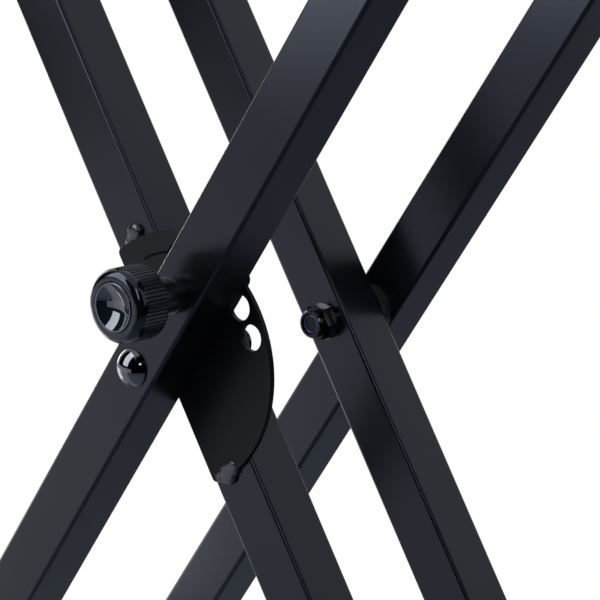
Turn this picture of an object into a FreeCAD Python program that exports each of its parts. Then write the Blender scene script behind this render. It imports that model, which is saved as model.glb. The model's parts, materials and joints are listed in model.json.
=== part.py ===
import FreeCAD, Part

import os
import re

import Sketcher

# Folding double-X keyboard stand.
#
# Row frame: X across the stand, Y from the front (negative) to the back, Z up. The origin is on the floor
# under the pivot. Each crossing frame is drawn lying along its own local X with the pivot at its local
# origin, and one rotation about the pivot line leans it: the outer frame leans up to the right, the inner
# frame up to the left.

# Driving dimensions in millimetres and degrees: name, value, what it is.
DIMENSIONS = [
    ("lean", 56.7, "angle of every leg above the floor at rest"),
    ("leg_half_span", 500.0, "pivot to foot tube axis, and pivot to arm tube axis, along a leg"),
    ("tube_width", 30.0, "outside width of every square tube"),
    ("tube_wall", 1.2, "wall of every square tube"),
    ("tube_corner", 2.0, "outside corner radius of every square tube"),
    ("inner_clear", 78.7, "clear distance between the two inner legs"),
    ("foot_length", 400.0, "length of a foot tube"),
    ("arm_length", 360.0, "length of an arm tube"),
    ("boot_radius", 24.0, "outside radius of a foot boot"),
    ("boot_sole", 22.5, "foot tube axis to the flat sole of a boot"),
    ("boot_cover", 46.0, "length of foot tube inside a boot"),
    ("boot_end", 4.0, "rubber over the end of a foot tube"),
    ("grip_radius", 23.0, "outside radius of an arm grip"),
    ("grip_top", 21.7, "arm tube axis to the flat top of a grip"),
    ("grip_cover", 68.0, "length of arm tube inside a grip"),
    ("grip_end", 4.0, "rubber over the end of an arm tube"),
    ("rubber_chamfer", 3.0, "chamfer at the ends of boots and grips"),
    ("rubber_groove", 1.0, "depth and half width of the grooves round boots and grips"),
    ("groove_pitch", 7.0, "spacing of those grooves"),
    ("boot_grooves", 3.0, "grooves round a boot"),
    ("grip_grooves", 8.0, "grooves round a grip"),
    ("plate_thick", 4.0, "stiffening plate on the back of the outer front leg"),
    ("plate_width", 28.6, "width of the stiffening plate"),
    ("plate_margin", 17.5, "pivot, and locking pin, to the nearer end of the stiffening plate"),
    ("plate_corner", 5.0, "corner radius of the stiffening plate"),
    ("thrust_thick", 0.9, "plastic washer between stiffening plate and locking disc"),
    ("thrust_radius", 14.0, "radius of that washer"),
    ("disc_thick", 2.5, "locking disc"),
    ("disc_radius", 66.0, "radius of the round edge of the locking disc"),
    ("disc_rim", 7.75, "metal between the locking holes and a circle of that radius on the pivot"),
    ("disc_shift", 4.6, "centre of that edge, beyond the pivot towards the straight edge"),
    ("disc_chord", 13.6, "pivot to the straight edge of the locking disc"),
    ("disc_corner", 3.0, "corner radius of the locking disc"),
    ("edge_round", 0.5, "rounding of the sharp edges of disc and plate"),
    ("face_gap", 0.1, "clearance between flat faces that turn past each other"),
    ("lowest_angle", 38.95, "leg angle at the lowest locking hole"),
    ("second_angle", 48.0, "leg angle at the second locking hole"),
    ("fourth_angle", 66.2, "leg angle at the fourth locking hole"),
    ("highest_angle", 75.6, "leg angle at the highest locking hole"),
    ("hole_width", 13.5, "diameter of a locking hole"),
    ("bolt_width", 10.0, "diameter of a pivot bolt"),
    ("bolt_hole_play", 0.2, "radial clearance of a pivot bolt in tube and washer holes"),
    ("bolt_run_play", 0.05, "radial running clearance of a pivot bolt in its bush"),
    ("bolt_head_width", 20.0, "diameter of the domed bolt head"),
    ("bolt_head_edge", 0.8, "straight edge of the bolt head below its dome"),
    ("bolt_head_rise", 5.4, "height of the dome above that edge"),
    ("bolt_end_chamfer", 1.0, "chamfer at the end of a pivot bolt"),
    ("bush_width", 14.0, "outside diameter of a pivot bush"),
    ("spacer_width", 30.0, "diameter of the round spacer between the rear legs"),
    ("washer_width", 20.0, "diameter of a nut washer"),
    ("washer_thick", 2.0, "thickness of a nut washer"),
    ("nut_flats", 17.0, "pivot nut across flats"),
    ("nut_hex_height", 7.0, "height of the hexagon of a pivot nut"),
    ("nut_collar_width", 15.2, "diameter of the collar of a pivot nut"),
    ("nut_collar_height", 3.6, "height of that collar"),
    ("nut_lip", 0.7, "metal lip that holds the insert in the collar"),
    ("insert_width", 13.0, "outside diameter of the nut insert"),
    ("bolt_short", 0.8, "bolt end, below the top of the nut insert"),
    ("sleeve_width", 17.0, "outside diameter of the plunger sleeve"),
    ("sleeve_play", 0.1, "clearance around the sleeve in the leg wall"),
    ("sleeve_depth", 22.0, "end of the sleeve, behind the front face of the leg"),
    ("collar_width", 19.2, "diameter of the collar round the sleeve"),
    ("collar_thick", 3.6, "thickness of that collar"),
    ("chamber_width", 13.5, "spring chamber in the sleeve"),
    ("chamber_end", 17.5, "end of the spring chamber, behind the front face of the leg"),
    ("pin_width", 12.0, "diameter of the nose of the locking pin"),
    ("pin_play", 0.08, "radial clearance around the nose"),
    ("nose_gap", 0.3, "nose to the face of the locking disc"),
    ("nose_chamfer", 1.2, "chamfer at the end of the nose"),
    ("shoulder_width", 13.3, "diameter of the shoulder of the locking pin"),
    ("shoulder_start", 10.0, "front of the shoulder, behind the front face of the leg"),
    ("shoulder_thick", 3.0, "thickness of the shoulder"),
    ("seat_thick", 1.0, "washer between spring and shoulder"),
    ("rod_width", 8.0, "diameter of the rod of the locking pin"),
    ("rod_play", 0.1, "radial clearance around the rod"),
    ("thread_width", 6.0, "threaded end of the rod"),
    ("gland_length", 5.0, "plug that closes the front of the sleeve"),
    ("pin_pull", 7.0, "travel of the knob when pulled"),
    ("sleeve_spare", 1.0, "sleeve still inside the knob when it is pulled"),
    ("spring_width", 11.6, "outside diameter of the plunger spring"),
    ("spring_wire", 1.2, "wire of the plunger spring"),
    ("spring_pitch", 3.6, "pitch of the plunger spring"),
    ("knob_width", 36.8, "diameter of the knob over its ridges"),
    ("knob_standoff", 21.0, "leg face to the back of the knob"),
    ("knob_length", 19.9, "back of the knob to its front ring"),
    ("knob_shoulder", 4.2, "rounding between the side and the front of the knob"),
    ("knob_back_chamfer", 0.8, "chamfer at the back of the knob"),
    ("ridge_count", 60.0, "ridges round the knob"),
    ("ridge_depth", 0.45, "depth of the grooves between the ridges"),
    ("ridge_share", 0.62, "width of a groove as a share of the ridge spacing"),
    ("ridge_margin", 1.0, "plain band behind the ridges"),
    ("ridge_length", 14.4, "length of the ridges"),
    ("knob_bore_play", 0.5, "radial clearance between knob and sleeve"),
    ("knob_bore_depth", 8.8, "depth of the bore at the back of the knob"),
    ("knob_web", 2.4, "knob material that the rod end passes through"),
    ("knob_nut_flats", 10.0, "nut on the rod end, across flats"),
    ("knob_nut_height", 3.2, "height of that nut"),
    ("rod_end_proud", 0.2, "rod end beyond that nut"),
    ("nut_pocket_width", 13.0, "diameter of the pocket for that nut"),
    ("cap_width", 24.4, "diameter of the dished cap in the knob"),
    ("cap_play", 0.2, "clearance around the cap"),
    ("cap_seat", 4.8, "depth of the seat for the cap"),
    ("cap_dish", 4.2, "depth of the dish below the lip of the cap"),
    ("cap_lip", 0.9, "width of the lip round the dish"),
    ("cap_edge", 0.5, "lip of the cap above the front ring of the knob"),
    ("cap_round", 0.4, "rounding of the lip, and of the ring of the knob beside it"),
    ("bead_width", 10.4, "width of the upper weld bead"),
    ("bead_length", 8.0, "length of the upper weld bead"),
    ("bead_height", 3.2, "height of both weld beads above the leg"),
    ("bead_beyond", 3.2, "centre of the upper weld bead, beyond the edge of the disc"),
    ("bead_across", 1.2, "upper weld bead, off the middle of the leg"),
    ("low_bead_width", 17.6, "width of the lower weld bead"),
    ("low_bead_length", 9.4, "length of the lower weld bead"),
    ("low_bead_inside", 1.2, "centre of the lower weld bead, inside the edge of the disc"),
    ("low_bead_across", -3.4, "lower weld bead, off the middle of the leg"),
]

ALIASES = {alias for alias, value, note in DIMENSIONS}
doc = FreeCAD.newDocument("keyboard_stand")
sheet = doc.addObject("Spreadsheet::Sheet", "Dims")
for row, (alias, value, note) in enumerate(DIMENSIONS, start=1):
    sheet.set("A%d" % row, alias)
    sheet.set("B%d" % row, str(value))
    sheet.set("C%d" % row, note)
    sheet.setAlias("B%d" % row, alias)
doc.recompute()


def size(expression):
    """The present value of an expression of the sheet's names, for first placing sketch points."""
    return float(sheet.evalExpression(dims(expression)))


def dims(expression):
    """Put the sheet's name before each of its aliases in an expression."""
    return re.sub(
        "[a-z_]+", lambda word: ("Dims." if word[0] in ALIASES else "") + word[0], expression)


# Depths from the middle plane of the stand, which is Y = 0.
INNER_FAR = "(inner_clear / 2 + tube_width)"
LEG_GAP = "(plate_thick + thrust_thick + face_gap + disc_thick)"
OUTER_NEAR = "(inner_clear / 2 + tube_width + %s)" % LEG_GAP
OUTER_FAR = "(inner_clear / 2 + 2 * tube_width + %s)" % LEG_GAP
INNER_MIDDLE = "(inner_clear / 2 + tube_width / 2)"
OUTER_MIDDLE = "(inner_clear / 2 + 1.5 * tube_width + %s)" % LEG_GAP
PIN_RADIUS = "(disc_radius - disc_rim - hole_width / 2)"
PIVOT_HEIGHT = "(leg_half_span * sin(lean * 1 deg) + boot_sole)"
LEAN = {"outer": "lean", "inner": "(180 - lean)"}
FRONT, REAR = -1, 1
TOLERANCE = 1e-4
parts = []


def keep(label, thing):
    """Name a finished sub-part and put it on the list to write."""
    thing.Label = label
    parts.append(thing)
    return thing


def place(thing, frame, along="0", depth="0", turned_with_frame=True):
    """Put a local origin at a distance along a leg and a depth, and lean it with its frame."""
    angle = LEAN[frame]
    thing.Placement = FreeCAD.Placement(
        FreeCAD.Vector(0, 0, 0), FreeCAD.Rotation(FreeCAD.Vector(0, -1, 0), size(angle)))
    if turned_with_frame:
        thing.setExpression("Placement.Rotation.Angle", dims(angle))
    else:
        thing.Placement = FreeCAD.Placement()
    thing.setExpression("Placement.Base.x", dims("(%s) * cos(%s * 1 deg)" % (along, angle)))
    thing.setExpression("Placement.Base.y", dims(depth))
    thing.setExpression(
        "Placement.Base.z", dims("%s + (%s) * sin(%s * 1 deg)" % (PIVOT_HEIGHT, along, angle)))
    return thing


def new_body(name):
    return doc.addObject("PartDesign::Body", name)


def new_sketch(body, name, plane):
    """A sketch on one of a body's own planes: XY_Plane, XZ_Plane or YZ_Plane."""
    sketch = body.newObject("Sketcher::SketchObject", name)
    support = [face for face in body.Origin.OriginFeatures if face.Role == plane][0]
    sketch.AttachmentSupport = [(support, "")]
    sketch.MapMode = "FlatFace"
    return sketch


def fix_point(sketch, geometry, position, x, y):
    """Hold one sketch point at two expressions, measured from the sketch origin."""
    for kind, expression in (("DistanceX", x), ("DistanceY", y)):
        index = sketch.addConstraint(
            Sketcher.Constraint(kind, -1, 1, geometry, position, size(expression)))
        if any(letter.isalpha() for letter in expression):
            sketch.setExpression("Constraints[%d]" % index, dims(expression))


def add_polygon(sketch, points):
    """A closed outline of straight lines through points given as pairs of expressions."""
    places = [FreeCAD.Vector(size(x), size(y), 0) for x, y in points]
    first = sketch.GeometryCount
    count = len(points)
    for index in range(count):
        sketch.addGeometry(Part.LineSegment(places[index], places[(index + 1) % count]), False)
    for index in range(count):
        after = first + (index + 1) % count
        sketch.addConstraint(Sketcher.Constraint("Coincident", first + index, 2, after, 1))
    for index, (x, y) in enumerate(points):
        fix_point(sketch, first + index, 1, x, y)


def add_rectangle(sketch, low_x, high_x, low_y, high_y):
    add_polygon(sketch, [(low_x, low_y), (high_x, low_y), (high_x, high_y), (low_x, high_y)])


def add_circle(sketch, diameter, x="0", y="0"):
    centre = FreeCAD.Vector(size(x), size(y), 0)
    circle = Part.Circle(centre, FreeCAD.Vector(0, 0, 1), size(diameter) / 2)
    index = sketch.addGeometry(circle, False)
    fix_point(sketch, index, 3, x, y)
    limit = sketch.addConstraint(Sketcher.Constraint("Diameter", index, size(diameter)))
    sketch.setExpression("Constraints[%d]" % limit, dims(diameter))


def pad(body, sketch, length, symmetric=False, forward=True):
    """Extrude a sketch. On the XZ plane, forward is towards negative Y."""
    feature = body.newObject("PartDesign::Pad", sketch.Name + "_pad")
    feature.Profile = sketch
    feature.SideType = "Symmetric" if symmetric else "One side"
    feature.Reversed = not forward
    feature.setExpression("Length", dims(length))
    return feature


def pocket(body, sketch, length, symmetric=False, forward=False):
    """Cut along a sketch's normal. On the XZ plane, forward is towards negative Y."""
    feature = body.newObject("PartDesign::Pocket", sketch.Name + "_pocket")
    feature.Profile = sketch
    feature.SideType = "Symmetric" if symmetric else "One side"
    feature.Reversed = forward
    feature.setExpression("Length", dims(length))
    return feature


def round_edges(body, base, radius, wanted, kind="Fillet"):
    """Round or chamfer those edges of a feature for which wanted(edge) is true."""
    doc.recompute()
    edges = [
        "Edge%d" % number
        for number, edge in enumerate(base.Shape.Edges, start=1)
        if wanted(edge)
    ]
    feature = body.newObject("PartDesign::" + kind, "%s_%s" % (body.Name, kind.lower()))
    feature.Base = (base, edges)
    feature.setExpression("Radius" if kind == "Fillet" else "Size", dims(radius))
    body.Tip = feature
    doc.recompute()
    return feature


def is_straight_along(edge, axis):
    """True for a straight edge parallel to one of the axes x, y or z."""
    if edge.Curve.TypeId != "Part::GeomLine":
        return False
    return abs(getattr(edge.Curve.Direction, axis)) > 1 - TOLERANCE


def is_circle(edge, radius, depth):
    """True for a circle with this radius and its centre at this depth."""
    if edge.Curve.TypeId != "Part::GeomCircle":
        return False
    return max(abs(edge.Curve.Radius - radius), abs(edge.Curve.Center.y - depth)) < TOLERANCE


def turned(name, profile):
    """A body turned about its local Y axis, from pairs of radius and depth expressions."""
    body = new_body(name)
    sketch = new_sketch(body, name + "_profile", "XY_Plane")
    add_polygon(sketch, profile)
    feature = body.newObject("PartDesign::Revolution", name + "_turned")
    feature.Profile = sketch
    feature.ReferenceAxis = (sketch, ["V_Axis"])
    feature.Angle = 360
    return body


def ring(name, inner, outer, start, end):
    """A plain turned ring between two radii and two depths."""
    return turned(name, [(inner, start), (outer, start), (outer, end), (inner, end)])


def block(name, length, width, height, x, y, z):
    """A box whose size and low corner are expressions."""
    box = doc.addObject("Part::Box", name)
    for field, expression in (
            ("Length", length), ("Width", width), ("Height", height),
            ("Placement.Base.x", x), ("Placement.Base.y", y), ("Placement.Base.z", z)):
        box.setExpression(field, dims(expression))
    return box


def combine(kind, name, base, tools):
    """Cut tools from a base, or keep what a base and one tool share."""
    result = base
    for number, tool in enumerate(tools, start=1):
        step = doc.addObject("Part::" + kind, "%s_%d" % (name, number))
        step.Base = result
        step.Tool = tool
        result = step
    return result


def domed(name, blank, radius, rise, top):
    """Cut the flat front of a turned blank to a dome, leaving what is behind the dome."""
    ball = doc.addObject("Part::Sphere", name + "_ball")
    ball_radius = "((%s) ^ 2 + (%s) ^ 2) / (2 * %s)" % (radius, rise, rise)
    ball.setExpression("Radius", dims(ball_radius))
    ball.setExpression("Placement.Base.y", dims("%s + %s" % (top, ball_radius)))
    behind = doc.addObject("Part::Cylinder", name + "_behind")
    behind.setExpression("Radius", dims("2 * %s" % radius))
    behind.setExpression("Height", dims("4 * %s" % OUTER_FAR))
    behind.Placement = FreeCAD.Placement(
        FreeCAD.Vector(0, 0, 0), FreeCAD.Rotation(FreeCAD.Vector(1, 0, 0), -90))
    behind.setExpression("Placement.Base.y", dims("%s + %s" % (top, rise)))
    kept = doc.addObject("Part::Fuse", name + "_kept")
    kept.Base = ball
    kept.Tool = behind
    return combine("Common", name, blank, [kept])


# Square tubes -------------------------------------------------------------------------------------


def square_tube(name, axis, length):
    """A hollow square tube centred on the local origin, along local X or Y."""
    plane = "YZ_Plane" if axis == "x" else "XZ_Plane"
    body = new_body(name)
    outside = new_sketch(body, name + "_outside", plane)
    add_rectangle(outside, "-tube_width / 2", "tube_width / 2", "-tube_width / 2", "tube_width / 2")
    solid = pad(body, outside, length, symmetric=True)
    round_edges(body, solid, "tube_corner", lambda edge: is_straight_along(edge, axis))
    inside = new_sketch(body, name + "_inside", plane)
    reach = "(tube_width / 2 - tube_wall)"
    add_rectangle(inside, "-" + reach, reach, "-" + reach, reach)
    pocket(body, inside, length, symmetric=True)
    return body


def leg(name, hole_width):
    """A leg that reaches from its foot tube to its arm tube, drilled for the pivot."""
    body = square_tube(name, "x", "2 * leg_half_span - tube_width")
    hole = new_sketch(body, name + "_pivot_hole", "XZ_Plane")
    add_circle(hole, hole_width)
    pocket(body, hole, "2 * tube_width", symmetric=True)
    return body


def make_legs():
    bolt_hole = "bolt_width + 2 * bolt_hole_play"
    front = leg("outer_leg_front", bolt_hole)
    sleeve_hole = new_sketch(front, "sleeve_hole", "XZ_Plane")
    add_circle(sleeve_hole, "sleeve_width + 2 * sleeve_play", PIN_RADIUS)
    pocket(front, sleeve_hole, "tube_width", forward=True)
    nose_hole = new_sketch(front, "nose_hole", "XZ_Plane")
    add_circle(nose_hole, "pin_width + 2 * pin_play", PIN_RADIUS)
    pocket(front, nose_hole, "tube_width")
    keep("outer_leg_front", place(front, "outer", depth="-" + OUTER_MIDDLE))
    rear = leg("outer_leg_rear", bolt_hole)
    keep("outer_leg_rear", place(rear, "outer", depth=OUTER_MIDDLE))
    for end, sign in (("front", "-"), ("rear", "")):
        label = "inner_leg_" + end
        keep(label, place(leg(label, "bush_width"), "inner", depth=sign + INNER_MIDDLE))


def make_cross_tubes():
    for frame in ("outer", "inner"):
        for kind, along, length in (
                ("foot", "-leg_half_span", "foot_length"), ("arm", "leg_half_span", "arm_length")):
            label = "%s_%s_tube" % (frame, kind)
            keep(label, place(square_tube(label, "y", length), frame, along=along))


# Rubber boots and grips ---------------------------------------------------------------------------


def rubber_end(label, frame, end, along, tube_length, kind):
    """A grooved round rubber sleeve over one end of a square tube, with one level flat at rest."""
    radius, cover, cap, grooves = (
        kind + suffix for suffix in ("_radius", "_cover", "_end", "_grooves"))
    outwards = "-" if end == FRONT else "+"
    inwards = "+" if end == FRONT else "-"
    sign = "-" if end == FRONT else ""
    open_end = "%s(%s / 2 - %s)" % (sign, tube_length, cover)
    closed_end = "%s(%s / 2 + %s)" % (sign, tube_length, cap)
    outline = [
        ("0", closed_end),
        (radius + " - rubber_chamfer", closed_end),
        (radius, "%s %s rubber_chamfer" % (closed_end, inwards)),
    ]
    for number in range(int(size(grooves)), 0, -1):
        middle = "%s %s groove_pitch * %d" % (open_end, outwards, number)
        outline += [
            (radius, "%s %s rubber_groove" % (middle, outwards)),
            (radius + " - rubber_groove", middle),
            (radius, "%s %s rubber_groove" % (middle, inwards)),
        ]
    outline += [
        (radius, "%s %s rubber_chamfer / 2" % (open_end, outwards)),
        (radius + " - rubber_chamfer / 2", open_end),
        ("0", open_end),
    ]
    shell = turned(label + "_outline", outline)
    reach = "4 * " + radius
    level_low = "-boot_sole - " + reach if kind == "boot" else "grip_top"
    level = block(label + "_level", reach, "2 * " + tube_length, reach,
                  "-2 * " + radius, "-" + tube_length, level_low)
    socket = block(label + "_socket", "tube_width", tube_length, "tube_width",
                   "0", "-%s / 2" % tube_length, "0")
    angle = LEAN[frame]
    half = "tube_width / 2"
    socket.Placement = FreeCAD.Placement(
        FreeCAD.Vector(0, 0, 0), FreeCAD.Rotation(FreeCAD.Vector(0, -1, 0), size(angle)))
    socket.setExpression("Placement.Rotation.Angle", dims(angle))
    turn = "(%s * 1 deg)" % angle
    socket.setExpression(
        "Placement.Base.x", dims("-%s * cos%s + %s * sin%s" % (half, turn, half, turn)))
    socket.setExpression("Placement.Base.y", dims("-%s / 2" % tube_length))
    socket.setExpression(
        "Placement.Base.z", dims("-%s * sin%s - %s * cos%s" % (half, turn, half, turn)))
    rubber = combine("Cut", label + "_cut", shell, [level, socket])
    return keep(label, place(rubber, frame, along=along, turned_with_frame=False))


def make_rubber():
    for frame in ("outer", "inner"):
        for end_name, end in (("front", FRONT), ("rear", REAR)):
            rubber_end("%s_foot_boot_%s" % (frame, end_name), frame, end,
                       "-leg_half_span", "foot_length", "boot")
            rubber_end("%s_arm_grip_%s" % (frame, end_name), frame, end,
                       "leg_half_span", "arm_length", "grip")


# Plates at the front pivot ------------------------------------------------------------------------


def make_stiffening_plate():
    body = new_body("stiffening_plate")
    outline = new_sketch(body, "plate_outline", "XZ_Plane")
    add_rectangle(outline, "-plate_margin", PIN_RADIUS + " + plate_margin",
                  "-plate_width / 2", "plate_width / 2")
    solid = pad(body, outline, "plate_thick", forward=False)
    corners = round_edges(body, solid, "plate_corner", lambda edge: is_straight_along(edge, "y"))
    thick = size("plate_thick")
    round_edges(body, corners, "edge_round", lambda edge: edge.BoundBox.YMin > thick - TOLERANCE)
    for name, diameter, x in (
            ("plate_bolt_hole", "bolt_width + 2 * bolt_hole_play", "0"),
            ("plate_nose_hole", "pin_width + 2 * pin_play", PIN_RADIUS)):
        hole = new_sketch(body, name, "XZ_Plane")
        add_circle(hole, diameter, x)
        pocket(body, hole, "3 * plate_thick", symmetric=True)
    keep("stiffening_plate", place(body, "outer", depth="-" + OUTER_NEAR))


def make_locking_disc():
    """A round plate with one straight edge, drilled with a row of locking holes."""
    body = new_body("locking_disc")
    outline = new_sketch(body, "disc_outline", "XZ_Plane")
    add_circle(outline, "2 * disc_radius", "0", "disc_shift")
    solid = pad(body, outline, "disc_thick")
    beyond = new_sketch(body, "disc_straight_edge", "XZ_Plane")
    add_rectangle(beyond, "-2 * disc_radius", "2 * disc_radius", "disc_chord", "3 * disc_radius")
    solid = pocket(body, beyond, "4 * disc_thick", symmetric=True)
    corners = round_edges(body, solid, "disc_corner", lambda edge: is_straight_along(edge, "y"))
    front = -size("disc_thick")
    round_edges(body, corners, "edge_round", lambda edge: edge.BoundBox.YMax < front + TOLERANCE)
    pivot_hole = new_sketch(body, "disc_pivot_hole", "XZ_Plane")
    add_circle(pivot_hole, "bush_width")
    pocket(body, pivot_hole, "4 * disc_thick", symmetric=True)
    holes = new_sketch(body, "locking_holes", "XZ_Plane")
    for angle in ("lowest_angle", "second_angle", "lean", "fourth_angle", "highest_angle"):
        add_circle(holes, "hole_width", "-%s * cos(2 * %s * 1 deg)" % (PIN_RADIUS, angle),
                   "-%s * sin(2 * %s * 1 deg)" % (PIN_RADIUS, angle))
    pocket(body, holes, "4 * disc_thick", symmetric=True)
    keep("locking_disc", place(body, "inner", depth="-" + INNER_FAR))


def make_disc_welds():
    """Two weld beads that lap over the round edge of the disc and hold it to the leg behind it."""
    beads = []
    edge = "sqrt(disc_radius ^ 2 - disc_shift ^ 2)"
    upper_along = "(%s + bead_beyond)" % edge
    lower_along = "-(%s - low_bead_inside)" % edge
    for name, width, length, along, across in (
            ("upper_bead", "bead_width", "bead_length", upper_along, "bead_across"),
            ("lower_bead", "low_bead_width", "low_bead_length", lower_along, "low_bead_across")):
        bead = doc.addObject("Part::Ellipsoid", name)
        bead.setExpression("Radius1", dims("bead_height"))
        bead.setExpression("Radius2", dims("%s / 2" % length))
        bead.setExpression("Radius3", dims("%s / 2" % width))
        bead.Placement = FreeCAD.Placement(
            FreeCAD.Vector(0, 0, 0), FreeCAD.Rotation(FreeCAD.Vector(1, 0, 0), -90))
        bead.setExpression("Placement.Base.x", dims(along))
        bead.setExpression("Placement.Base.z", dims("-%s" % across))
        beads.append(bead)
    both = doc.addObject("Part::MultiFuse", "both_beads")
    both.Shapes = beads
    reach = "4 * disc_radius"
    leg_side = block("behind_leg_face", reach, "tube_width", reach,
                     "-2 * disc_radius", "0", "-2 * disc_radius")
    disc_side = doc.addObject("Part::Cylinder", "inside_disc_edge")
    disc_side.setExpression("Radius", dims("disc_radius"))
    disc_side.setExpression("Height", dims("disc_thick"))
    disc_side.Placement = FreeCAD.Placement(
        FreeCAD.Vector(0, 0, 0), FreeCAD.Rotation(FreeCAD.Vector(1, 0, 0), 90))
    disc_side.setExpression("Placement.Base.z", dims("disc_shift"))
    welds = combine("Cut", "bead_cut", both, [leg_side, disc_side])
    keep("disc_welds", place(welds, "inner", depth="-" + INNER_FAR))


# Pivot hardware -----------------------------------------------------------------------------------
#
# Both pivots are drawn with depth measured inwards from the outside face of the outer leg. The rear one
# is turned half round its vertical axis, so that its bolt also enters from outside.

BUSH_START = "(tube_width + %s - disc_thick)" % LEG_GAP
REAR_BUSH_START = "(tube_width + %s)" % LEG_GAP
BUSH_END = "(2 * tube_width + %s)" % LEG_GAP
WASHER_START = "(%s + face_gap)" % BUSH_END
NUT_START = "(%s + washer_thick)" % WASHER_START
NUT_HEIGHT = "(nut_hex_height + nut_collar_height)"
NUT_END = "(%s + %s)" % (NUT_START, NUT_HEIGHT)
INSERT_START = "(%s + nut_hex_height)" % NUT_START
INSERT_END = "(%s - nut_lip)" % NUT_END


def keep_pivot_piece(label, thing, end):
    """Place a piece of pivot hardware on the outside face of the front or rear outer leg."""
    frame = "inner" if "bush" in label else "outer"
    place(thing, frame, depth=("-" if end == FRONT else "") + OUTER_FAR)
    if end == REAR:
        thing.setExpression("Placement.Rotation.Angle", None)
        thing.Placement.Rotation = FreeCAD.Rotation(FreeCAD.Vector(1, 0, 0), 180)
    return keep(label, thing)


def pivot_bolt(name):
    """A bolt with a domed head, its edge on the leg."""
    shank = "bolt_width / 2"
    bolt_end = "(%s - bolt_short)" % INSERT_END
    top = "(-bolt_head_edge - bolt_head_rise)"
    blank = turned(name + "_blank", [
        ("0", top),
        ("bolt_head_width / 2", top),
        ("bolt_head_width / 2", "0"),
        (shank, "0"),
        (shank, "%s - bolt_end_chamfer" % bolt_end),
        (shank + " - bolt_end_chamfer", bolt_end),
        ("0", bolt_end),
    ])
    return domed(name, blank, "bolt_head_width / 2", "bolt_head_rise", top)


def pivot_nut(name):
    """A hexagon with chamfered corners and a round collar that holds a plastic insert."""
    hexagon = doc.addObject("Part::Prism", name + "_hexagon")
    hexagon.Polygon = 6
    hexagon.setExpression("Circumradius", dims("nut_flats / 2 / cos(30 deg)"))
    hexagon.setExpression("Height", dims(NUT_HEIGHT))
    hexagon.Placement = FreeCAD.Placement(
        FreeCAD.Vector(0, 0, 0), FreeCAD.Rotation(FreeCAD.Vector(1, 0, 0), -90))
    hexagon.setExpression("Placement.Base.y", dims(NUT_START))
    corner = "(nut_flats / 2 / cos(30 deg))"
    flat = "(nut_flats / 2)"
    chamfer = "(%s - %s) / 2" % (corner, flat)
    bore = "bolt_width / 2"
    insert = "insert_width / 2"
    outline = turned(name + "_outline", [
        (bore, NUT_START),
        (flat, NUT_START),
        (corner, "%s + %s" % (NUT_START, chamfer)),
        (corner, "%s - %s" % (INSERT_START, chamfer)),
        (flat, INSERT_START),
        ("nut_collar_width / 2", INSERT_START),
        ("nut_collar_width / 2", "%s - nut_lip" % NUT_END),
        ("nut_collar_width / 2 - nut_lip", NUT_END),
        ("%s - nut_lip" % insert, NUT_END),
        ("%s - nut_lip" % insert, INSERT_END),
        (insert, INSERT_END),
        (insert, INSERT_START),
        (bore, INSERT_START),
    ])
    return combine("Common", name, hexagon, [outline])


def make_pivots():
    bolt_hole = "bolt_width / 2 + bolt_hole_play"
    for end_name, end in (("front", FRONT), ("rear", REAR)):
        start = BUSH_START if end == FRONT else REAR_BUSH_START
        keep_pivot_piece(end_name + "_pivot_bolt", pivot_bolt(end_name + "_bolt"), end)
        bush = ring(end_name + "_bush", "bolt_width / 2 + bolt_run_play", "bush_width / 2",
                    start, BUSH_END)
        keep_pivot_piece(end_name + "_pivot_bush", bush, end)
        washer = ring(end_name + "_washer", bolt_hole, "washer_width / 2", WASHER_START, NUT_START)
        keep_pivot_piece(end_name + "_nut_washer", washer, end)
        keep_pivot_piece(end_name + "_pivot_nut", pivot_nut(end_name + "_nut"), end)
        insert = ring(end_name + "_insert", "bolt_width / 2", "insert_width / 2",
                      INSERT_START, INSERT_END)
        keep_pivot_piece(end_name + "_nut_insert", insert, end)
    plate_back = "tube_width + plate_thick"
    thrust = ring("thrust", bolt_hole, "thrust_radius", plate_back, plate_back + " + thrust_thick")
    keep_pivot_piece("front_thrust_washer", thrust, FRONT)
    spacer = ring("spacer", bolt_hole, "spacer_width / 2", "tube_width",
                  "tube_width + %s - face_gap" % LEG_GAP)
    keep_pivot_piece("rear_leg_spacer", spacer, REAR)


# Spring plunger with its knob, depth measured inwards from the front face of the outer front leg ------

SLEEVE_FRONT = "(-(knob_standoff + pin_pull + sleeve_spare))"
GLAND_BACK = "(%s + gland_length)" % SLEEVE_FRONT
SEAT_FRONT = "(shoulder_start - seat_thick)"
NOSE_TIP = "(tube_width + plate_thick + thrust_thick + face_gap - nose_gap)"
KNOB_BACK = "(-knob_standoff)"
KNOB_FRONT = "(-(knob_standoff + knob_length))"
KNOB_FLOOR = "(-(knob_standoff + knob_bore_depth))"
NUT_POCKET = "(%s - knob_web)" % KNOB_FLOOR
CAP_SEAT = "(%s + cap_seat)" % KNOB_FRONT


def keep_plunger_piece(label, thing):
    return keep(label, place(thing, "outer", along=PIN_RADIUS, depth="-" + OUTER_FAR))


def plunger_spring():
    """Open coil between the gland and the seat, as one wire."""
    body = new_body("spring")
    wire = new_sketch(body, "spring_wire_section", "XY_Plane")
    start = "%s + spring_wire / 2" % GLAND_BACK
    add_circle(wire, "spring_wire", "(spring_width - spring_wire) / 2", start)
    coil = body.newObject("PartDesign::AdditiveHelix", "spring_coil")
    coil.Profile = wire
    coil.ReferenceAxis = (wire, ["V_Axis"])
    coil.Mode = "pitch-height-angle"
    coil.setExpression("Pitch", dims("spring_pitch"))
    coil.setExpression("Height", dims("%s - %s - spring_wire" % (SEAT_FRONT, GLAND_BACK)))
    return body


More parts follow.
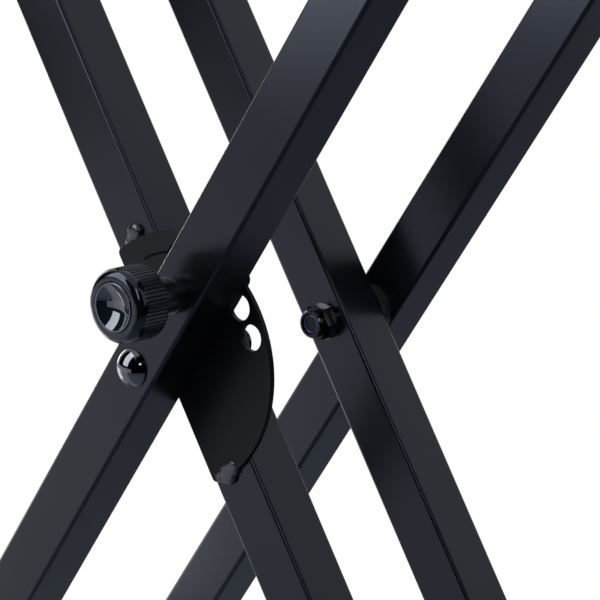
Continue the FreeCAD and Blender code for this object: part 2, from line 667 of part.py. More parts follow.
def knob_body():
    """A ridged knob with a bore over the sleeve, a nut pocket and a seat for its cap."""
    radius = "knob_width / 2"
    bore = "(sleeve_width / 2 + knob_bore_play)"
    pocket_wall = "nut_pocket_width / 2"
    seat_wall = "(cap_width / 2 + cap_play)"
    body = turned("knob_blank", [
        (bore, KNOB_BACK),
        (radius + " - knob_back_chamfer", KNOB_BACK),
        (radius, "%s - knob_back_chamfer" % KNOB_BACK),
        (radius, KNOB_FRONT),
        (seat_wall, KNOB_FRONT),
        (seat_wall, CAP_SEAT),
        (pocket_wall, CAP_SEAT),
        (pocket_wall, NUT_POCKET),
        ("thread_width / 2", NUT_POCKET),
        ("thread_width / 2", KNOB_FLOOR),
        (bore, KNOB_FLOOR),
    ])
    front, side_radius, seat_radius = size(KNOB_FRONT), size(radius), size(seat_wall)
    round_edges(
        body, body.Tip, "knob_shoulder", lambda edge: is_circle(edge, side_radius, front))
    round_edges(body, body.Tip, "cap_round", lambda edge: is_circle(edge, seat_radius, front))
    groove = new_sketch(body, "knob_groove", "XZ_Plane")
    groove.setExpression(
        "AttachmentOffset.Base.z", dims("knob_standoff + ridge_margin + ridge_length"))
    half = "(pi * knob_width / ridge_count * ridge_share / 2)"
    reach = "(knob_width / 2 + ridge_depth)"
    add_polygon(groove, [
        ("knob_width / 2 - ridge_depth", "0"),
        (reach, "-2 * " + half),
        (reach, "2 * " + half),
    ])
    cut = pocket(body, groove, "ridge_length")
    ridges = body.newObject("PartDesign::PolarPattern", "knob_ridges")
    ridges.Originals = [cut]
    ridges.Axis = (groove, ["N_Axis"])
    ridges.Angle = 360
    ridges.setExpression("Occurrences", dims("ridge_count"))
    body.Tip = ridges
    return body


def knob_nut():
    prism = doc.addObject("Part::Prism", "knob_nut_hexagon")
    prism.Polygon = 6
    prism.setExpression("Circumradius", dims("knob_nut_flats / 2 / cos(30 deg)"))
    prism.setExpression("Height", dims("knob_nut_height"))
    prism.Placement = FreeCAD.Placement(
        FreeCAD.Vector(0, 0, 0), FreeCAD.Rotation(FreeCAD.Vector(1, 0, 0), 90))
    prism.setExpression("Placement.Base.y", dims(NUT_POCKET))
    core = doc.addObject("Part::Cylinder", "knob_nut_core")
    core.setExpression("Radius", dims("thread_width / 2"))
    core.setExpression("Height", dims("4 * knob_nut_height"))
    core.Placement = FreeCAD.Placement(
        FreeCAD.Vector(0, 0, 0), FreeCAD.Rotation(FreeCAD.Vector(1, 0, 0), 90))
    core.setExpression("Placement.Base.y", dims("%s + knob_nut_height" % NUT_POCKET))
    return combine("Cut", "knob_nut_cut", prism, [core])


def knob_cap():
    """A round cap whose front is a dish inside a narrow lip."""
    top = "(%s - cap_edge)" % KNOB_FRONT
    cap = turned("cap_blank", [
        ("0", CAP_SEAT),
        ("cap_width / 2", CAP_SEAT),
        ("cap_width / 2", top),
        ("0", top),
    ])
    front, side_radius = size(top), size("cap_width / 2")
    round_edges(cap, cap.Tip, "cap_round", lambda edge: is_circle(edge, side_radius, front))
    ball = doc.addObject("Part::Sphere", "cap_dish_ball")
    ball_radius = "(((cap_width / 2 - cap_lip) ^ 2 + cap_dish ^ 2) / (2 * cap_dish))"
    ball.setExpression("Radius", dims(ball_radius))
    ball.setExpression("Placement.Base.y", dims("%s + cap_dish - %s" % (top, ball_radius)))
    return combine("Cut", "cap_dish_cut", cap, [ball])


def make_plunger():
    sleeve = turned("sleeve", [
        ("chamber_width / 2", SLEEVE_FRONT),
        ("sleeve_width / 2", SLEEVE_FRONT),
        ("sleeve_width / 2", "sleeve_depth"),
        ("pin_width / 2 + pin_play", "sleeve_depth"),
        ("pin_width / 2 + pin_play", "chamber_end"),
        ("chamber_width / 2", "chamber_end"),
    ])
    keep_plunger_piece("plunger_sleeve", sleeve)
    keep_plunger_piece("sleeve_collar", ring(
        "collar", "sleeve_width / 2", "collar_width / 2", "-collar_thick", "0"))
    keep_plunger_piece("sleeve_gland", ring(
        "gland", "rod_width / 2 + rod_play", "chamber_width / 2", SLEEVE_FRONT, GLAND_BACK))
    keep_plunger_piece("plunger_spring", plunger_spring())
    keep_plunger_piece("spring_seat", ring(
        "seat", "rod_width / 2 + rod_play", "shoulder_width / 2", SEAT_FRONT, "shoulder_start"))
    thread_end = "%s - knob_nut_height - rod_end_proud" % NUT_POCKET
    pin = turned("pin", [
        ("0", thread_end),
        ("thread_width / 2", thread_end),
        ("thread_width / 2", KNOB_FLOOR),
        ("rod_width / 2", KNOB_FLOOR),
        ("rod_width / 2", "shoulder_start"),
        ("shoulder_width / 2", "shoulder_start"),
        ("shoulder_width / 2", "shoulder_start + shoulder_thick"),
        ("pin_width / 2", "shoulder_start + shoulder_thick"),
        ("pin_width / 2", "%s - nose_chamfer" % NOSE_TIP),
        ("pin_width / 2 - nose_chamfer", NOSE_TIP),
        ("0", NOSE_TIP),
    ])
    keep_plunger_piece("lock_pin", pin)
    keep_plunger_piece("knob", knob_body())
    keep_plunger_piece("knob_nut", knob_nut())
    keep_plunger_piece("knob_cap", knob_cap())


make_legs()
make_cross_tubes()
make_rubber()
make_stiffening_plate()
make_locking_disc()
make_disc_welds()
make_pivots()
make_plunger()
doc.recompute()

for thing in doc.Objects:
    if "Invalid" in thing.State or "Error" in thing.State:
        raise RuntimeError("%s did not compute: %s" % (thing.Name, thing.State))
for part in parts:
    if part.Shape.isNull() or not part.Shape.isValid():
        raise RuntimeError("%s has no valid shape" % part.Label)

os.makedirs("parts", exist_ok=True)
for part in parts:
    part.Shape.exportStep("parts/%s.step" % part.Label)
    print("%-24s solids %d, volume %.1f" % (part.Label, len(part.Shape.Solids), part.Shape.Volume))
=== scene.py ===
import json
import math

import bmesh
import bpy
from mathutils import Matrix, Vector


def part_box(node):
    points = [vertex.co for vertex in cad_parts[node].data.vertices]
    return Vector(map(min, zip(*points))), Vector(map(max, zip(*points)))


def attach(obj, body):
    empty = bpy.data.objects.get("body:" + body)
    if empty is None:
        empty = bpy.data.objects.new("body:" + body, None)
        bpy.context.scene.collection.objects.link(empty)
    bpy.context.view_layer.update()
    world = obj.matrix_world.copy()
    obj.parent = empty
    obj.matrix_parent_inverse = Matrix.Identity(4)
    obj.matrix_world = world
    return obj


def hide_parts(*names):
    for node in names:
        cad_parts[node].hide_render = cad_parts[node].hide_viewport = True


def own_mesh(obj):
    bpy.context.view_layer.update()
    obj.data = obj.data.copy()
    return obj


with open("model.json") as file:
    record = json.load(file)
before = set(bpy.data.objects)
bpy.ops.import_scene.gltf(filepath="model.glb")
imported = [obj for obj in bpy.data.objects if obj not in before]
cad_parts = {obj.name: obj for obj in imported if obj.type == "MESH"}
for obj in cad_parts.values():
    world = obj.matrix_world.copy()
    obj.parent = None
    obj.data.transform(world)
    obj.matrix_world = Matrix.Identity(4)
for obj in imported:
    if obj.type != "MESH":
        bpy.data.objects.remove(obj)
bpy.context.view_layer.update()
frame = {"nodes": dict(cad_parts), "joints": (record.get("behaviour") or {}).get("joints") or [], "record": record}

# Folding keyboard stand, seen close up at the front pivot. Lengths are in metres, in the frame of the
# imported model: X across the stand, Y from the knob side to the rear, Z up.

MM = 0.001

JOINTS = {joint["name"]: joint for joint in frame["joints"]}
PIVOT = Vector(JOINTS["frame_fold"]["pos_m"])
PIN = Vector(JOINTS["knob_turn"]["pos_m"])
LEAN = math.atan2(PIN.z - PIVOT.z, PIN.x - PIVOT.x)
LEG_FACE_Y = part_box("outer_leg_front")[0].y
INNER_FACE_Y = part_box("inner_leg_front")[0].y
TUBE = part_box("inner_leg_front")[1].y - INNER_FACE_Y

# Directions along and across the two frames: along points up its legs, across to their right-hand side.
ALONG = {
    "inner_frame": Vector((-math.cos(LEAN), 0, math.sin(LEAN))),
    "outer_frame": Vector((math.cos(LEAN), 0, math.sin(LEAN))),
}
ACROSS = {
    "inner_frame": Vector((math.sin(LEAN), 0, math.cos(LEAN))),
    "outer_frame": Vector((math.sin(LEAN), 0, -math.cos(LEAN))),
}


def on_frame(body, along, across, depth):
    """A point of a frame from its distances along and across from the pivot, at a depth in Y."""
    return PIVOT + along * ALONG[body] + across * ACROSS[body] + Vector((0, depth - PIVOT.y, 0))


# Materials -----------------------------------------------------------------------------------------


class Graph:
    """A material's node tree, with a short way to add nodes and link them."""

    def __init__(self, name):
        self.material = bpy.data.materials.new(name)
        self.material.use_nodes = True
        self.tree = self.material.node_tree
        self.shader = self.tree.nodes["Principled BSDF"]

    def node(self, kind, **settings):
        made = self.tree.nodes.new("ShaderNode" + kind)
        for key, value in settings.items():
            setattr(made, key, value)
        return made

    def put(self, socket, value):
        """Link a socket to an output, or set it to a number, vector or colour."""
        if isinstance(value, bpy.types.NodeSocket):
            self.tree.links.new(value, socket)
        else:
            socket.default_value = value

    def math(self, operation, first, second=0.0, clamp=False):
        made = self.node("Math", operation=operation, use_clamp=clamp)
        self.put(made.inputs[0], first)
        self.put(made.inputs[1], second)
        return made.outputs[0]

    def place(self):
        return self.node("TexCoord").outputs["Object"]

    def noise(self, scale, detail=4.0, roughness=0.55, stretch=None):
        coordinates = self.place()
        if stretch is not None:
            mapping = self.node("Mapping")
            self.put(mapping.inputs["Vector"], coordinates)
            mapping.inputs["Scale"].default_value = stretch
            coordinates = mapping.outputs["Vector"]
        made = self.node("TexNoise")
        self.put(made.inputs["Vector"], coordinates)
        made.inputs["Scale"].default_value = scale
        made.inputs["Detail"].default_value = detail
        made.inputs["Roughness"].default_value = roughness
        return made.outputs["Fac"]

    def spread(self, value, low, high, to_low, to_high):
        """Map a value from one range to another."""
        made = self.node("MapRange", clamp=True)
        self.put(made.inputs["Value"], value)
        for index, number in enumerate((low, high, to_low, to_high), start=1):
            made.inputs[index].default_value = number
        return made.outputs["Result"]

    def blend(self, factor, first, second):
        made = self.node("Mix", data_type="RGBA")
        self.put(made.inputs["Factor"], factor)
        self.put(made.inputs[6], (*first, 1.0) if isinstance(first, tuple) else first)
        self.put(made.inputs[7], (*second, 1.0) if isinstance(second, tuple) else second)
        return made.outputs[2]

    def bump(self, height, strength, distance, before=None):
        made = self.node("Bump")
        self.put(made.inputs["Height"], height)
        made.inputs["Strength"].default_value = strength
        made.inputs["Distance"].default_value = distance
        if before is not None:
            self.put(made.inputs["Normal"], before)
        return made.outputs["Normal"]

    def finish(self, **sockets):
        for name, value in sockets.items():
            socket = self.shader.inputs[name.replace("_", " ")]
            if isinstance(value, tuple) and len(value) == 3:
                value = (*value, 1.0)
            self.put(socket, value)
        return self.material


def powder_coat():
    """Satin black powder coat with a bluish sheen: orange peel and slightly uneven gloss."""
    graph = Graph("powder_coat")
    broad = graph.noise(9.0, 3.0)
    peel = graph.noise(420.0, 2.0)
    grain = graph.noise(2600.0, 2.0)
    colour = graph.blend(
        graph.spread(broad, 0.35, 0.65, 0.0, 1.0), (0.0016, 0.0018, 0.0028), (0.0026, 0.0029, 0.0042))
    rough = graph.spread(broad, 0.3, 0.7, 0.21, 0.26)
    normal = graph.bump(peel, 0.10, 0.2 * MM)
    normal = graph.bump(grain, 0.10, 0.08 * MM, normal)
    return graph.finish(
        Base_Color=colour, Roughness=rough, Normal=normal, IOR=1.5, Specular_IOR_Level=0.30,
        Specular_Tint=(0.60, 0.69, 0.94))


def plate_coat_shader(graph, rub_and_groove_shade=None):
    """The coat of disc and plate: smoother and neutral, with faint cloudy patches."""
    broad = graph.noise(22.0, 4.0)
    fine = graph.noise(900.0, 3.0)
    colour = graph.blend(
        graph.spread(broad, 0.3, 0.7, 0.0, 1.0), (0.0018, 0.0020, 0.0026), (0.0036, 0.0040, 0.0050))
    rough = graph.spread(broad, 0.3, 0.7, 0.30, 0.40)
    normal = graph.bump(fine, 0.06, 0.1 * MM)
    # The rub mask roughens the worn coat and darkens its colour as painted shade of the pin's groove.
    if rub_and_groove_shade is not None:
        colour = graph.blend(rub_and_groove_shade, colour, (0.0004, 0.0004, 0.0005))
        rough = graph.math("MAXIMUM", rough, graph.math("MULTIPLY", rub_and_groove_shade, RUB_ROUGHNESS))
    return graph.finish(
        Base_Color=colour, Roughness=rough, Normal=normal, IOR=1.5, Specular_IOR_Level=0.11,
        Specular_Tint=(0.70, 0.82, 1.0))


def plate_coat():
    return plate_coat_shader(Graph("plate_coat"))


# The pin's rub mark on the disc, rough where the coat is worn and dark with painted shade for its groove, as
# radius and angle about the pivot, the angle from +X towards +Z.
RUB_SHADE_RADIUS = 53.7 * MM
RUB_SHADE_WIDTH = 1.2 * MM
RUB_SHADE_ANGLES = (math.radians(100.0), math.radians(122.0))
RUB_ROUGHNESS = 0.95


def disc_coat():
    """Plate coat with the short arc where the tip of the locking pin wears it: rougher, and dark with painted
    shade for the worn groove.
    """
    graph = Graph("disc_coat")
    split = graph.node("SeparateXYZ")
    graph.put(split.inputs[0], graph.place())
    x = split.outputs["X"]
    z = graph.math("SUBTRACT", split.outputs["Z"], PIVOT.z)
    radius = graph.math("SQRT", graph.math(
        "ADD", graph.math("MULTIPLY", x, x), graph.math("MULTIPLY", z, z)))
    angle = graph.math("ARCTAN2", z, x)
    off_line = graph.math("ABSOLUTE", graph.math("SUBTRACT", radius, RUB_SHADE_RADIUS))
    on_line = graph.spread(off_line, 0.4 * RUB_SHADE_WIDTH, RUB_SHADE_WIDTH, 1.0, 0.0)
    middle, half = sum(RUB_SHADE_ANGLES) / 2, (RUB_SHADE_ANGLES[1] - RUB_SHADE_ANGLES[0]) / 2
    off_middle = graph.math("ABSOLUTE", graph.math("SUBTRACT", angle, middle))
    inside = graph.spread(off_middle, 0.85 * half, half, 1.0, 0.0)
    return plate_coat_shader(graph, graph.math("MULTIPLY", on_line, inside))


def bead_coat():
    """The same coat over the weld beads, where it has run thick and glossy."""
    graph = Graph("bead_coat")
    rough = graph.spread(graph.noise(300.0, 3.0), 0.3, 0.7, 0.10, 0.22)
    normal = graph.bump(graph.noise(260.0, 2.0), 0.12, 0.25 * MM)
    return graph.finish(
        Base_Color=graph.blend(graph.noise(200.0), (0.004, 0.005, 0.007), (0.008, 0.009, 0.013)),
        Roughness=rough, Normal=normal, IOR=1.5, Specular_IOR_Level=0.55,
        Specular_Tint=(0.75, 0.85, 1.0))


def plated(name, low, high, rough_low, rough_high):
    """Plated steel, black or bright."""
    graph = Graph(name)
    broad = graph.noise(120.0, 4.0)
    rough = graph.spread(broad, 0.3, 0.7, rough_low, rough_high)
    normal = graph.bump(graph.noise(700.0, 2.0), 0.05, 0.08 * MM)
    return graph.finish(
        Base_Color=graph.blend(broad, low, high), Metallic=1.0, Roughness=rough, Normal=normal)


def bolt_steel():
    """Glossy black chrome on the domed head of a pivot bolt, and blackened steel on its shank."""
    graph = Graph("bolt_steel")
    split = graph.node("SeparateXYZ")
    graph.put(split.inputs[0], graph.place())
    away = graph.math("ABSOLUTE", graph.math("SUBTRACT", split.outputs["Y"], PIVOT.y))
    head = graph.spread(away, -LEG_FACE_Y - 0.1 * MM, -LEG_FACE_Y, 0.0, 1.0)
    chrome = graph.blend(graph.noise(120.0), (0.080, 0.083, 0.098), (0.100, 0.104, 0.122))
    rough = graph.spread(head, 0.0, 1.0, 0.45, 0.08)
    normal = graph.bump(graph.noise(700.0, 2.0), 0.04, 0.08 * MM)
    return graph.finish(
        Base_Color=graph.blend(head, (0.012, 0.013, 0.015), chrome), Metallic=1.0, Roughness=rough,
        Normal=normal)


# How far behind the knob's face its polished ring ends and the satin ridges begin.
RING_DEPTH = 6.0 * MM


def knob_plastic():
    """Black moulded plastic, polished on the ring round the cap and satin on the ridges."""
    graph = Graph("knob_plastic")
    split = graph.node("SeparateXYZ")
    graph.put(split.inputs[0], graph.place())
    ring_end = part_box("knob")[0].y + RING_DEPTH
    satin = graph.spread(split.outputs["Y"], ring_end - 0.5 * MM, ring_end + 0.5 * MM, 0.0, 1.0)
    rough = graph.spread(satin, 0.0, 1.0, 0.10, 0.42)
    normal = graph.bump(graph.noise(1800.0, 2.0), 0.04, 0.1 * MM)
    colour = graph.blend(graph.noise(80.0, 3.0), (0.0018, 0.0022, 0.0034), (0.0030, 0.0036, 0.0054))
    return graph.finish(
        Base_Color=colour, Roughness=rough, Normal=normal, IOR=1.5, Specular_IOR_Level=0.38,
        Specular_Tint=(0.62, 0.76, 1.0))


def plastic(name, low, high, rough_low, rough_high, grain, level):
    """Black moulded plastic with a fine grain."""
    graph = Graph(name)
    broad = graph.noise(80.0, 3.0)
    rough = graph.spread(broad, 0.3, 0.7, rough_low, rough_high)
    normal = graph.bump(graph.noise(1800.0, 2.0), grain, 0.1 * MM)
    return graph.finish(
        Base_Color=graph.blend(broad, low, high), Roughness=rough, Normal=normal, IOR=1.5,
        Specular_IOR_Level=level, Specular_Tint=(0.80, 0.88, 1.0))


def rubber():
    graph = Graph("rubber")
    broad = graph.noise(40.0, 4.0)
    rough = graph.spread(broad, 0.3, 0.7, 0.62, 0.78)
    normal = graph.bump(graph.noise(1400.0, 3.0), 0.25, 0.15 * MM)
    colour = graph.blend(broad, (0.012, 0.012, 0.012), (0.022, 0.022, 0.023))
    return graph.finish(Base_Color=colour, Roughness=rough, Normal=normal)


def nut_steel():
    """Black plated steel of the pivot nuts."""
    return plated("nut_steel", (0.014, 0.014, 0.015), (0.026, 0.026, 0.029), 0.12, 0.20)


def sleeve_black():
    """Satin black coat of the plunger sleeve and its collar."""
    return plastic(
        "sleeve_black", (0.0030, 0.0033, 0.0042), (0.0050, 0.0055, 0.0068), 0.26, 0.34, 0.04, 0.6)


def blue_nylon():
    graph = Graph("insert_nylon")
    broad = graph.noise(300.0, 3.0)
    rough = graph.spread(broad, 0.3, 0.7, 0.09, 0.15)
    colour = graph.blend(broad, (0.007, 0.013, 0.085), (0.011, 0.020, 0.12))
    return graph.finish(Base_Color=colour, Roughness=rough, Specular_IOR_Level=0.5)


MATERIALS = {
    "powder_coat": powder_coat(),
    "plate_coat": plate_coat(),
    "gloss_black_steel": plated(
        "gloss_black_steel", (0.080, 0.083, 0.098), (0.100, 0.104, 0.122), 0.06, 0.11),
    "zinc_steel": plated("zinc_steel", (0.50, 0.50, 0.52), (0.66, 0.66, 0.68), 0.22, 0.34),
    "spring_steel": plated("spring_steel", (0.35, 0.35, 0.37), (0.48, 0.48, 0.50), 0.25, 0.35),
    "rubber": rubber(),
    "knob_plastic": knob_plastic(),
    "cap_plastic": plastic(
        "cap_plastic", (0.0035, 0.0050, 0.0085), (0.0050, 0.0070, 0.0120), 0.03, 0.05, 0.005, 1.0),
    "bearing_nylon": plastic(
        "bearing_nylon", (0.010, 0.010, 0.011), (0.016, 0.016, 0.017), 0.35, 0.45, 0.05, 0.5),
    "insert_nylon": blue_nylon(),
}

# Pieces whose look differs from that of their slot.
SPECIAL_MATERIALS = (
    (disc_coat(), ("locking_disc",)),
    (bolt_steel(), ("front_pivot_bolt", "rear_pivot_bolt")),
    (nut_steel(), ("front_pivot_nut", "rear_pivot_nut")),
    (sleeve_black(), ("plunger_sleeve", "sleeve_collar")),
)


def dress_nodes():
    """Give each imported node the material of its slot, or its own one."""
    for part in frame["record"]["subparts"]:
        node = frame["nodes"][part["node"]]
        node.data.materials.clear()
        node.data.materials.append(MATERIALS[part["material_slot"]])
    for material, names in SPECIAL_MATERIALS:
        for name in names:
            frame["nodes"][name].data.materials[0] = material


# Welds, nut inserts and spring ---------------------------------------------------------------------


def add_piece(name, mesh, slot, body):
    """Put a mesh into the scene as a smooth piece that rides on a body."""
    piece = bpy.data.objects.new(name, mesh)
    bpy.context.collection.objects.link(piece)
    mesh.materials.clear()
    mesh.materials.append(MATERIALS[slot])
    for face in mesh.polygons:
        face.use_smooth = True
    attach(piece, body)
    return piece


def lump(form, body, along, across, depth, radii, segments=12):
    """Add one flattened ball to a bmesh, its radii given along, across and out of the frame's face."""
    axes = Matrix((ALONG[body], ACROSS[body], Vector((0, -1, 0)))).transposed()
    grown = axes @ Matrix.Diagonal(Vector(radii))
    place = Matrix.Translation(on_frame(body, along, across, depth)) @ grown.to_4x4()
    bmesh.ops.create_uvsphere(form, u_segments=segments, v_segments=segments // 2, radius=1.0,
                              matrix=place)


def melted(name, form, voxel, smoothings):
    """Turn overlapping balls into one smooth closed mesh."""
    mesh = bpy.data.meshes.new(name + "_raw")
    form.to_mesh(mesh)
    form.free()
    raw = bpy.data.objects.new(name + "_raw", mesh)
    bpy.context.collection.objects.link(raw)
    remesh = raw.modifiers.new("remesh", "REMESH")
    remesh.mode = "VOXEL"
    remesh.voxel_size = voxel
    smooth = raw.modifiers.new("smooth", "SMOOTH")
    smooth.iterations = smoothings
    bpy.context.view_layer.update()
    solid = bpy.data.meshes.new_from_object(raw.evaluated_get(bpy.context.evaluated_depsgraph_get()))
    bpy.data.objects.remove(raw)
    return solid


# Lumps of the two weld beads: along and across from the pivot, half length, half width and half depth,
# all in millimetres. Above BEAD_FLAT_FROM their tops are flattened towards the bead's height.
DISC_BEAD_LUMPS = (
    (68.8, 2.2, 4.8, 5.0, 6.6),
    (67.2, -1.2, 2.8, 2.8, 5.0),
    (66.2, -3.8, 2.4, 2.4, 4.6),
    (65.6, -6.0, 1.6, 1.8, 3.6),
    (-63.0, 1.8, 4.4, 4.8, 6.6),
    (-62.4, -3.0, 3.8, 4.6, 6.4),
    (-65.6, -3.2, 4.8, 5.4, 6.8),
    (-63.8, -8.2, 3.8, 3.8, 6.0),
)
BEAD_LOWEST = 0.05 * MM
BEAD_HEIGHT = 3.2 * MM
BEAD_FLAT_FROM = 0.6 * MM
BEAD_VOXEL = 0.25 * MM
BEAD_SMOOTHINGS = 30


def make_disc_beads():
    """The two lumpy beads that hold the disc to the leg, with their undersides on the leg."""
    form = bmesh.new()
    for along, across, length, width, depth in DISC_BEAD_LUMPS:
        lump(form, "inner_frame", along * MM, across * MM, INNER_FACE_Y,
             (length * MM, width * MM, depth * MM), segments=24)
    mesh = melted("disc_beads", form, BEAD_VOXEL, BEAD_SMOOTHINGS)
    room = BEAD_HEIGHT - BEAD_FLAT_FROM
    for vertex in mesh.vertices:
        height = max(INNER_FACE_Y - vertex.co.y, -BEAD_LOWEST)
        if height > BEAD_FLAT_FROM:
            height = BEAD_FLAT_FROM + room * (1 - math.exp((BEAD_FLAT_FROM - height) / room))
        vertex.co.y = INNER_FACE_Y - height
    piece = add_piece("disc_beads", mesh, "plate_coat", "inner_frame")
    mesh.materials[0] = bead_coat()
    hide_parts("disc_welds")


RIPPLE_RADII = (2.3 * MM, 2.0 * MM, 1.9 * MM)
RIPPLE_STEP = 2.1 * MM
RIPPLES = 12


def make_tube_welds(body, leg_names, cross_names):
    """Rippled fillets on both sides of each leg where it meets the foot tube and the arm tube."""
    form = bmesh.new()
    for cross_name in cross_names:
        low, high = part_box(cross_name)
        to_cross = (low + high) / 2 - PIVOT
        to_cross.y = 0
        reach = to_cross.length - TUBE / 2
        side = 1 if to_cross.dot(ALONG[body]) > 0 else -1
        for leg_name in leg_names:
            near, far = (corner.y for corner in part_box(leg_name))
            for face_y in (near, far):
                for number in range(RIPPLES):
                    across = (number - (RIPPLES - 1) / 2) * RIPPLE_STEP
                    lump(form, body, side * reach, across, face_y, RIPPLE_RADII)
    mesh = bpy.data.meshes.new(body + "_welds")
    form.to_mesh(mesh)
    form.free()
    add_piece(body + "_welds", mesh, "powder_coat", body)


# Section of a nut insert, as radius and height above its seat in the nut, from the outside inwards,
# in millimetres.
INSERT_SECTION = (
    (6.5, 0.0), (6.5, 2.0), (6.25, 2.1), (5.9, 2.0), (5.55, 1.95), (5.25, 2.15), (5.0, 2.5), (4.65, 2.75),
    (4.3, 2.65), (4.08, 2.35), (4.05, 2.1), (5.0, 1.1), (5.0, 0.0))
TURNS = 96


def make_insert(end):
    """A rounded blue ring in the collar of a pivot nut, round the end of the bolt."""
    node = end + "_nut_insert"
    low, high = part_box(node)
    seat_y, out = (low.y, 1) if end == "front" else (high.y, -1)
    form = bmesh.new()
    rings = []
    for turn in range(TURNS):
        angle = 2 * math.pi * turn / TURNS
        rings.append([
            form.verts.new(Vector((
                PIVOT.x + radius * MM * math.cos(angle),
                seat_y + out * height * MM,
                PIVOT.z + radius * MM * math.sin(angle))))
            for radius, height in INSERT_SECTION])
    for turn in range(TURNS):
        here, after = rings[turn], rings[(turn + 1) % TURNS]
        for index in range(len(INSERT_SECTION)):
            beside = (index + 1) % len(INSERT_SECTION)
            form.faces.new((here[index], here[beside], after[beside], after[index]))
    bmesh.ops.recalc_face_normals(form, faces=form.faces)
    mesh = bpy.data.meshes.new(node + "_ring")
    form.to_mesh(mesh)
    form.free()
    piece = add_piece(node + "_ring", mesh, "insert_nylon", "outer_frame")
    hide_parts(node)


def make_spring():
    """A copy of the plunger's spring, riding on the outer frame at its rest length; the real spring closes up
    against its gland as the knob is pulled.
    """
    mesh = frame["nodes"]["plunger_spring"].data.copy()
    piece = add_piece("closing_spring", mesh, "spring_steel", "outer_frame")
    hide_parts("plunger_spring")
    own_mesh(piece)


# Stage ---------------------------------------------------------------------------------------------


def white_where_seen(tree, strength_elsewhere):
    """1 for camera, glossy and transmitted rays, and a lower strength for the light on the object."""
    path = tree.nodes.new("ShaderNodeLightPath")
    seen = path.outputs["Is Camera Ray"]
    for name in ("Is Glossy Ray", "Is Transmission Ray"):
        most = tree.nodes.new("ShaderNodeMath")
        most.operation = "MAXIMUM"
        tree.links.new(seen, most.inputs[0])
        tree.links.new(path.outputs[name], most.inputs[1])
        seen = most.outputs[0]
    strength = tree.nodes.new("ShaderNodeMapRange")
    tree.links.new(seen, strength.inputs["Value"])
    strength.inputs["To Min"].default_value = strength_elsewhere
    strength.inputs["To Max"].default_value = 1.0
    return strength.outputs["Result"]


WORLD_LIGHT = 0.3


def make_world():
    """A white surround, which lights the object less than it shows."""
    world = bpy.data.worlds.new("studio")
    bpy.context.scene.world = world
    world.use_nodes = True
    background = world.node_tree.nodes["Background"]
    background.inputs["Color"].default_value = (1, 1, 1, 1)
    world.node_tree.links.new(
        white_where_seen(world.node_tree, WORLD_LIGHT), background.inputs["Strength"])


# The floor takes shadows near its middle and fades to plain white between two distances from it.
FLOOR_MIDDLE = (0.0, 0.05, 0.0)
FLOOR_FADE = (0.25, 0.68)
FLOOR_HALF = 12.0


def make_floor():
    """A pale floor that takes the object's shadow near it and is plain white further out."""
    mesh = bpy.data.meshes.new("floor")
    corners = [(x * FLOOR_HALF, y * FLOOR_HALF, 0) for x, y in ((-1, -1), (1, -1), (1, 1), (-1, 1))]
    mesh.from_pydata(corners, [], [(0, 1, 2, 3)])
    floor = bpy.data.objects.new("floor", mesh)
    bpy.context.collection.objects.link(floor)
    material = bpy.data.materials.new("floor")
    material.use_nodes = True
    tree = material.node_tree
    diffuse = tree.nodes["Principled BSDF"]
    diffuse.inputs["Base Color"].default_value = (0.86, 0.86, 0.86, 1)
    diffuse.inputs["Roughness"].default_value = 0.9
    diffuse.inputs["Specular IOR Level"].default_value = 0.1
    glow = tree.nodes.new("ShaderNodeEmission")
    tree.links.new(white_where_seen(tree, 0.0), glow.inputs["Strength"])
    place = tree.nodes.new("ShaderNodeTexCoord")
    away = tree.nodes.new("ShaderNodeVectorMath")
    away.operation = "DISTANCE"
    away.inputs[1].default_value = FLOOR_MIDDLE
    tree.links.new(place.outputs["Object"], away.inputs[0])
    fade = tree.nodes.new("ShaderNodeMapRange")
    fade.interpolation_type = "SMOOTHSTEP"
    tree.links.new(away.outputs["Value"], fade.inputs["Value"])
    fade.inputs["From Min"].default_value = FLOOR_FADE[0]
    fade.inputs["From Max"].default_value = FLOOR_FADE[1]
    mix = tree.nodes.new("ShaderNodeMixShader")
    tree.links.new(fade.outputs["Result"], mix.inputs["Fac"])
    tree.links.new(diffuse.outputs["BSDF"], mix.inputs[1])
    tree.links.new(glow.outputs["Emission"], mix.inputs[2])
    tree.links.new(mix.outputs["Shader"], tree.nodes["Material Output"].inputs["Surface"])
    mesh.materials.append(material)


def direction(azimuth, elevation):
    """A unit vector: azimuth 0 is straight out of the knob side, 90 is +X, and elevation is upwards."""
    azimuth, elevation = math.radians(azimuth), math.radians(elevation)
    return Vector((
        math.sin(azimuth) * math.cos(elevation),
        -math.cos(azimuth) * math.cos(elevation),
        math.sin(elevation)))


CARD_STEPS = 24
CARD_BLACK = (0.012, 0.012, 0.012)
CARD_BLUE = (0.42, 0.48, 0.58)
CARD_RADIUS = 1.25

# Each card's first and last azimuth, its two rims as radius and height, and its colour.
CARDS = (
    ("front_card", (-78, 96), ((CARD_RADIUS, 0.36), (CARD_RADIUS, 1.75)), CARD_BLACK),
    ("side_card", (0, 165), ((CARD_RADIUS, 0.0), (CARD_RADIUS, 0.6)), CARD_BLACK),
    ("floor_card", (-20, 225), ((0.02, 0.002), (CARD_RADIUS, 0.002)), CARD_BLUE),
)


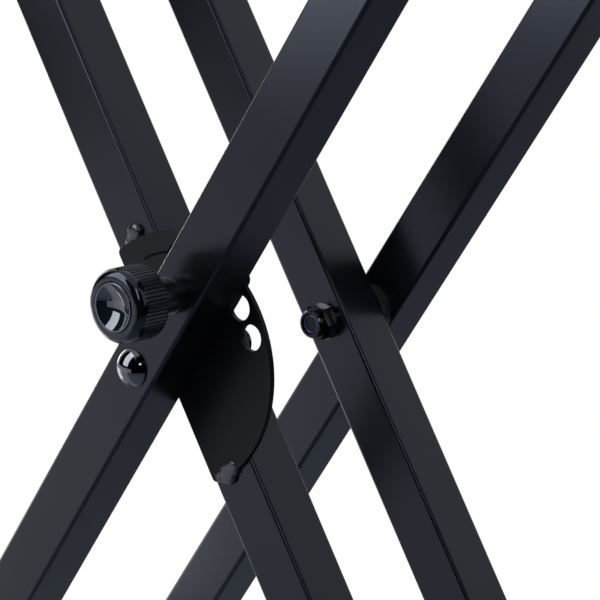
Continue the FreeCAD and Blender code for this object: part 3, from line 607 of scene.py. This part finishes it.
def make_card(name, azimuths, rims, colour):
    """A curved card between its rims, like a studio's black flags, seen only in reflections."""
    vertices = []
    for step in range(CARD_STEPS + 1):
        azimuth = azimuths[0] + step / CARD_STEPS * (azimuths[1] - azimuths[0])
        vertices += [direction(azimuth, 0) * radius + Vector((0, 0, height)) for radius, height in rims]
    faces = [(2 * step, 2 * step + 2, 2 * step + 3, 2 * step + 1) for step in range(CARD_STEPS)]
    mesh = bpy.data.meshes.new(name)
    mesh.from_pydata(vertices, [], faces)
    card = bpy.data.objects.new(name, mesh)
    bpy.context.collection.objects.link(card)
    material = bpy.data.materials.new(name)
    material.use_nodes = True
    shader = material.node_tree.nodes["Principled BSDF"]
    shader.inputs["Base Color"].default_value = (*colour, 1)
    shader.inputs["Roughness"].default_value = 1.0
    shader.inputs["Specular IOR Level"].default_value = 0.0
    mesh.materials.append(material)
    card.visible_camera = False
    card.visible_diffuse = False
    card.visible_shadow = False
    card.visible_transmission = False


# Each light's distance from the pivot, its azimuth and elevation, the width and height of its face,
# and the radiance of the face: a key window on the left, low fills under it, and narrow strips for
# the lines on the edges.
LIGHTS = (
    ("key", 0.85, (-31, 29), (0.44, 0.80), 5.6),
    ("fill", 1.15, (-42, -14), (0.90, 0.36), 0.3),
    ("low_fill", 0.65, (-74, -24), (0.32, 0.26), 2.6),
    ("left_strip", 1.0, (-97, 8), (0.14, 0.60), 7.0),
    ("camera_strip", 1.1, (40, 32), (0.18, 0.50), 9.0),
)


def make_light(name, distance, angles, size, radiance):
    """A soft box that faces the pivot."""
    width, height = size
    data = bpy.data.lights.new(name, "AREA")
    data.shape = "RECTANGLE"
    data.size = width
    data.size_y = height
    data.energy = radiance * math.pi * width * height
    light = bpy.data.objects.new(name, data)
    bpy.context.collection.objects.link(light)
    place = PIVOT + distance * direction(*angles)
    facing = (PIVOT - place).to_track_quat("-Z", "Y").to_matrix().to_4x4()
    light.matrix_world = Matrix.Translation(place) @ facing
    light.visible_camera = False


# The camera stands where the photograph was taken from, as fitted to the tubes' edges. Its azimuth and
# elevation are in degrees and its roll in radians, and its place is measured from the pivot's axis at
# the front face of the outer leg.
CAMERA_AZIMUTH = 41.56
CAMERA_ELEVATION = 13.45
CAMERA_ROLL = 0.0255408
CAMERA_FROM_PIVOT = Vector((0.876096, -0.863285, 0.330336))
FOCAL_PIXELS = 2543.43
FRAME_PIXELS = 600
SENSOR_WIDTH = 36.0
CENTRE_PIXEL = (299.73, 300.74)


def make_camera():
    """The photograph's camera, with its picture's centre off the lens axis as fitted."""
    data = bpy.data.cameras.new("camera")
    data.sensor_width = SENSOR_WIDTH
    data.lens = FOCAL_PIXELS / FRAME_PIXELS * SENSOR_WIDTH
    data.shift_x = (FRAME_PIXELS / 2 - CENTRE_PIXEL[0]) / FRAME_PIXELS
    data.shift_y = (CENTRE_PIXEL[1] - FRAME_PIXELS / 2) / FRAME_PIXELS
    camera = bpy.data.objects.new("camera", data)
    bpy.context.collection.objects.link(camera)
    bpy.context.scene.camera = camera
    back = direction(CAMERA_AZIMUTH, CAMERA_ELEVATION)
    right = (-back).cross(Vector((0, 0, 1))).normalized()
    up = right.cross(-back)
    right, up = (
        right * math.cos(CAMERA_ROLL) + up * math.sin(CAMERA_ROLL),
        up * math.cos(CAMERA_ROLL) - right * math.sin(CAMERA_ROLL))
    turned = Matrix((right, up, back)).transposed().to_4x4()
    place = Vector((PIVOT.x, LEG_FACE_Y, PIVOT.z)) + CAMERA_FROM_PIVOT
    camera.matrix_world = Matrix.Translation(place) @ turned


dress_nodes()
make_disc_beads()
make_spring()
for side in ("inner", "outer"):
    make_tube_welds(side + "_frame", (side + "_leg_front", side + "_leg_rear"),
                    (side + "_foot_tube", side + "_arm_tube"))
for end in ("front", "rear"):
    make_insert(end)

make_world()
make_floor()
for card in CARDS:
    make_card(*card)
for light in LIGHTS:
    make_light(*light)
make_camera()
bpy.context.scene.view_settings.view_transform = "Standard"
